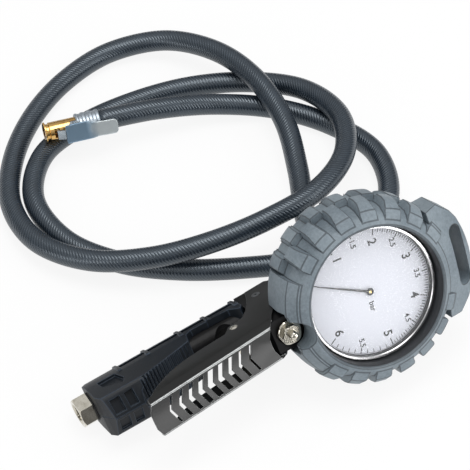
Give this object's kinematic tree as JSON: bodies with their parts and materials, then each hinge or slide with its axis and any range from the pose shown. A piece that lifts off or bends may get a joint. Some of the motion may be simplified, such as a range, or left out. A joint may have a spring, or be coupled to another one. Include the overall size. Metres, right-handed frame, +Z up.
{
  "type": "portable tire inflator",
  "caption": "Hand-held tyre inflator with a squeeze lever, a round dial gauge in a lugged rubber boot with a hanging loop, and a hose with a clip-on chuck.",
  "frame": {"origin": "on the surface that the tool lies on, under the middle of the tool's box without its hose", "axes": "+X along the handle from the air inlet towards the gauge, +Y from the tool towards the coiled hose, +Z up"},
  "size_m": [0.2672, 0.3296, 0.1086],
  "materials": {
    "cast_paint": "black paint over a die casting",
    "grip_plastic": "fine-grained blue-black plastic",
    "screw_steel": "blackened steel",
    "nickel": "nickel plate",
    "fibre": "black fibre",
    "bronze": "bronze",
    "seal_rubber": "nitrile rubber",
    "spring_steel": "bright spring wire",
    "lever_paint": "satin black powder coat on sheet steel",
    "pivot_steel": "blackened steel",
    "case_paint": "black paint on sheet steel",
    "bezel_steel": "bright steel",
    "lens": "clear flat pane",
    "dial_paint": "white print on aluminium",
    "pointer_paint": "black paint",
    "brass": "plain brass",
    "boot_rubber": "matt grey rubber",
    "zinc": "bright zinc plate",
    "hose_rubber": "dark grey rubber with a wrapped cover",
    "chuck_brass": "bright yellow brass"
  },
  "bodies": {
    "inflator": {"valve_body": "cast_paint", "grip_left": "grip_plastic", "grip_right": "grip_plastic", "grip_screws": "screw_steel", "inlet_nut": "nickel", "inlet_washer": "fibre", "inlet_filter": "bronze", "stem_seal": "seal_rubber", "valve_spring": "spring_steel", "valve_plug": "screw_steel", "lever_pivots": "pivot_steel", "bleed_cap": "nickel", "bleed_spring": "spring_steel", "gauge_case": "case_paint", "gauge_bezel": "bezel_steel", "gauge_lens": "lens", "gauge_dial": "dial_paint", "back_plate": "brass", "front_plate": "brass", "pressure_tube": "bronze", "tube_tip": "brass", "gauge_socket": "brass", "rubber_boot": "boot_rubber", "hose_tail": "nickel", "hose_ferrule": "zinc", "hose": "hose_rubber", "chuck_ferrule": "zinc", "chuck_body": "chuck_brass", "chuck_seal": "seal_rubber", "chuck_depressor": "chuck_brass", "chuck_clip_pin": "zinc", "chuck_clip_spring": "spring_steel"},
    "lever": {"lever": "lever_paint", "push_pin": "nickel"},
    "plunger": {"valve_plunger": "nickel", "valve_seal": "seal_rubber"},
    "bleed": {"bleed_button": "nickel", "bleed_seal": "seal_rubber"},
    "sector": {"sector_gear": "brass"},
    "link": {"sector_link": "brass"},
    "pointer": {"pinion_staff": "brass", "gauge_pointer": "pointer_paint"},
    "clip": {"chuck_clip": "zinc"}
  },
  "joints": [
    {"name": "lever_squeeze", "type": "hinge", "parent": "inflator", "child": "lever", "pos_m": [0.00369, 0.02107, 0.0306], "axis": [0.1148, -0.515, -0.8494], "range_deg": [0, 10], "stiffness_Nm_per_rad": 0.8, "springref_deg": -17.19},
    {"name": "valve_stroke", "type": "slide", "parent": "inflator", "child": "plunger", "axis": [0.069, 0.8572, -0.5104], "range_m": [0, 0.00492]},
    {"name": "bleed_press", "type": "slide", "parent": "inflator", "child": "bleed", "axis": [0.069, 0.8572, -0.5104], "range_m": [0, 0.0015], "stiffness_N_per_m": 400, "springref_m": -0.002},
    {"name": "sector_turn", "type": "hinge", "parent": "inflator", "child": "sector", "pos_m": [0.06229, 0.00097, 0.0753], "axis": [-0.069, -0.8572, 0.5104], "range_deg": [0, 42.5], "stiffness_Nm_per_rad": 0.002, "springref_deg": -5.73},
    {"name": "pointer_turn", "type": "hinge", "parent": "inflator", "child": "pointer", "pos_m": [0.05226, -0.01579, 0.05951], "axis": [-0.069, -0.8572, 0.5104], "range_deg": [-297.6, 0]},
    {"name": "link_turn", "type": "hinge", "parent": "sector", "child": "link", "pos_m": [0.05624, 0.00136, 0.07807], "axis": [-0.069, -0.8572, 0.5104], "range_deg": [-42.6, 0]},
    {"name": "clip_open", "type": "hinge", "parent": "inflator", "child": "clip", "pos_m": [-0.02042, 0.20937, 0.02467], "axis": [0.095, 0.3955, 0.9135], "range_deg": [0, 10], "stiffness_Nm_per_rad": 0.1, "springref_deg": -17.19}
  ],
  "couplings": [
    {"joint": "valve_stroke", "follows": "lever_squeeze", "m_per_rad": 0.028075},
    {"joint": "pointer_turn", "follows": "sector_turn", "ratio": -7},
    {"joint": "link_turn", "follows": "sector_turn", "ratio": -1}
  ]
}
